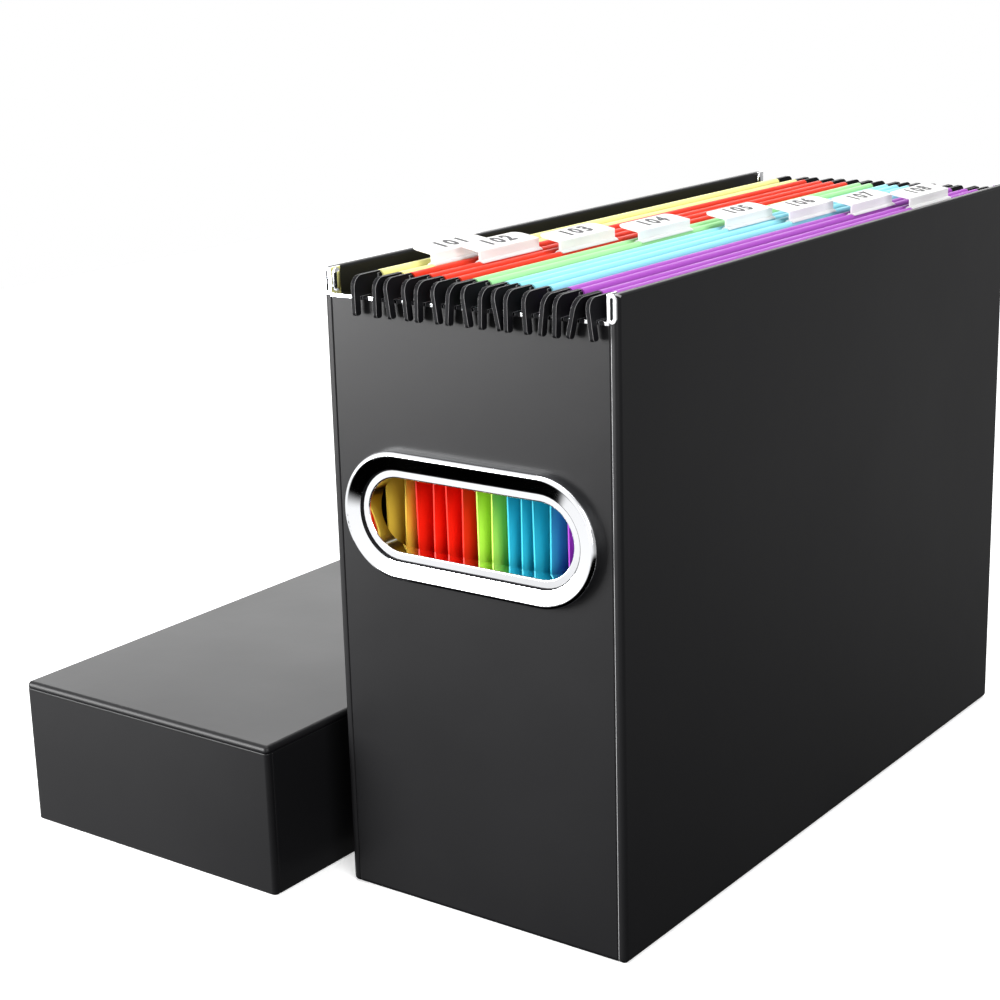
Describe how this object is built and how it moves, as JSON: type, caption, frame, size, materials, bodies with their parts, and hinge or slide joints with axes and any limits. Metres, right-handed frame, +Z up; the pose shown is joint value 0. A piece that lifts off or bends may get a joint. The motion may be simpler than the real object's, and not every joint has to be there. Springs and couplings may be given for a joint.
{
  "type": "portable file box",
  "caption": "Portable black box for hanging files, with chrome grips and rails, coloured hanging folders with index tabs, and a deep lift-off lid set beside it.",
  "frame": {"origin": "centre of the box's underside, on the surface it stands on", "axes": "+X to the right along the front end wall, +Y along the box's length to the rear end wall, +Z up"},
  "size_m": [0.28, 0.3505, 0.2485],
  "materials": {
    "covered_board": "satin",
    "chrome": "polished",
    "hook_plastic": "satin",
    "sheet_yellow": "satin",
    "sheet_red": "satin",
    "sheet_green": "satin",
    "sheet_blue": "satin",
    "sheet_purple": "satin",
    "tab_plastic": "satin",
    "label_paper": "matte"
  },
  "bodies": {
    "box": {"base_panel": "covered_board", "left_side_wall": "covered_board", "right_side_wall": "covered_board", "front_end_wall": "covered_board", "rear_end_wall": "covered_board", "front_rail": "chrome", "rear_rail": "chrome", "front_grip_bezel": "chrome", "front_grip_backing": "chrome", "rear_grip_bezel": "chrome", "rear_grip_backing": "chrome"},
    "lid": {"lid_top": "covered_board", "lid_front_skirt": "covered_board", "lid_rear_skirt": "covered_board", "lid_left_skirt": "covered_board", "lid_right_skirt": "covered_board"},
    "folder_1": {"folder_1_sheet": "sheet_yellow", "folder_1_left_rod": "hook_plastic", "folder_1_right_rod": "hook_plastic", "folder_1_tab": "tab_plastic", "folder_1_label": "label_paper"},
    "folder_2": {"folder_2_sheet": "sheet_red", "folder_2_left_rod": "hook_plastic", "folder_2_right_rod": "hook_plastic", "folder_2_tab": "tab_plastic", "folder_2_label": "label_paper"},
    "folder_3": {"folder_3_sheet": "sheet_red", "folder_3_left_rod": "hook_plastic", "folder_3_right_rod": "hook_plastic", "folder_3_tab": "tab_plastic", "folder_3_label": "label_paper"},
    "folder_4": {"folder_4_sheet": "sheet_green", "folder_4_left_rod": "hook_plastic", "folder_4_right_rod": "hook_plastic", "folder_4_tab": "tab_plastic", "folder_4_label": "label_paper"},
    "folder_5": {"folder_5_sheet": "sheet_blue", "folder_5_left_rod": "hook_plastic", "folder_5_right_rod": "hook_plastic", "folder_5_tab": "tab_plastic", "folder_5_label": "label_paper"},
    "folder_6": {"folder_6_sheet": "sheet_blue", "folder_6_left_rod": "hook_plastic", "folder_6_right_rod": "hook_plastic", "folder_6_tab": "tab_plastic", "folder_6_label": "label_paper"},
    "folder_7": {"folder_7_sheet": "sheet_purple", "folder_7_left_rod": "hook_plastic", "folder_7_right_rod": "hook_plastic", "folder_7_tab": "tab_plastic", "folder_7_label": "label_paper"},
    "folder_8": {"folder_8_sheet": "sheet_purple", "folder_8_left_rod": "hook_plastic", "folder_8_right_rod": "hook_plastic", "folder_8_tab": "tab_plastic", "folder_8_label": "label_paper"}
  },
  "joints": [
    {"name": "lid_lift", "type": "slide", "parent": "box", "child": "lid", "axis": [0, 0, 1], "range_m": [0, 0.3]},
    {"name": "folder_1_lift", "type": "slide", "parent": "box", "child": "folder_1", "axis": [0, 0, 1], "range_m": [0, 0.24]},
    {"name": "folder_2_lift", "type": "slide", "parent": "box", "child": "folder_2", "axis": [0, 0, 1], "range_m": [0, 0.24]},
    {"name": "folder_3_lift", "type": "slide", "parent": "box", "child": "folder_3", "axis": [0, 0, 1], "range_m": [0, 0.24]},
    {"name": "folder_4_lift", "type": "slide", "parent": "box", "child": "folder_4", "axis": [0, 0, 1], "range_m": [0, 0.24]},
    {"name": "folder_5_lift", "type": "slide", "parent": "box", "child": "folder_5", "axis": [0, 0, 1], "range_m": [0, 0.24]},
    {"name": "folder_6_lift", "type": "slide", "parent": "box", "child": "folder_6", "axis": [0, 0, 1], "range_m": [0, 0.24]},
    {"name": "folder_7_lift", "type": "slide", "parent": "box", "child": "folder_7", "axis": [0, 0, 1], "range_m": [0, 0.24]},
    {"name": "folder_8_lift", "type": "slide", "parent": "box", "child": "folder_8", "axis": [0, 0, 1], "range_m": [0, 0.24]}
  ]
}
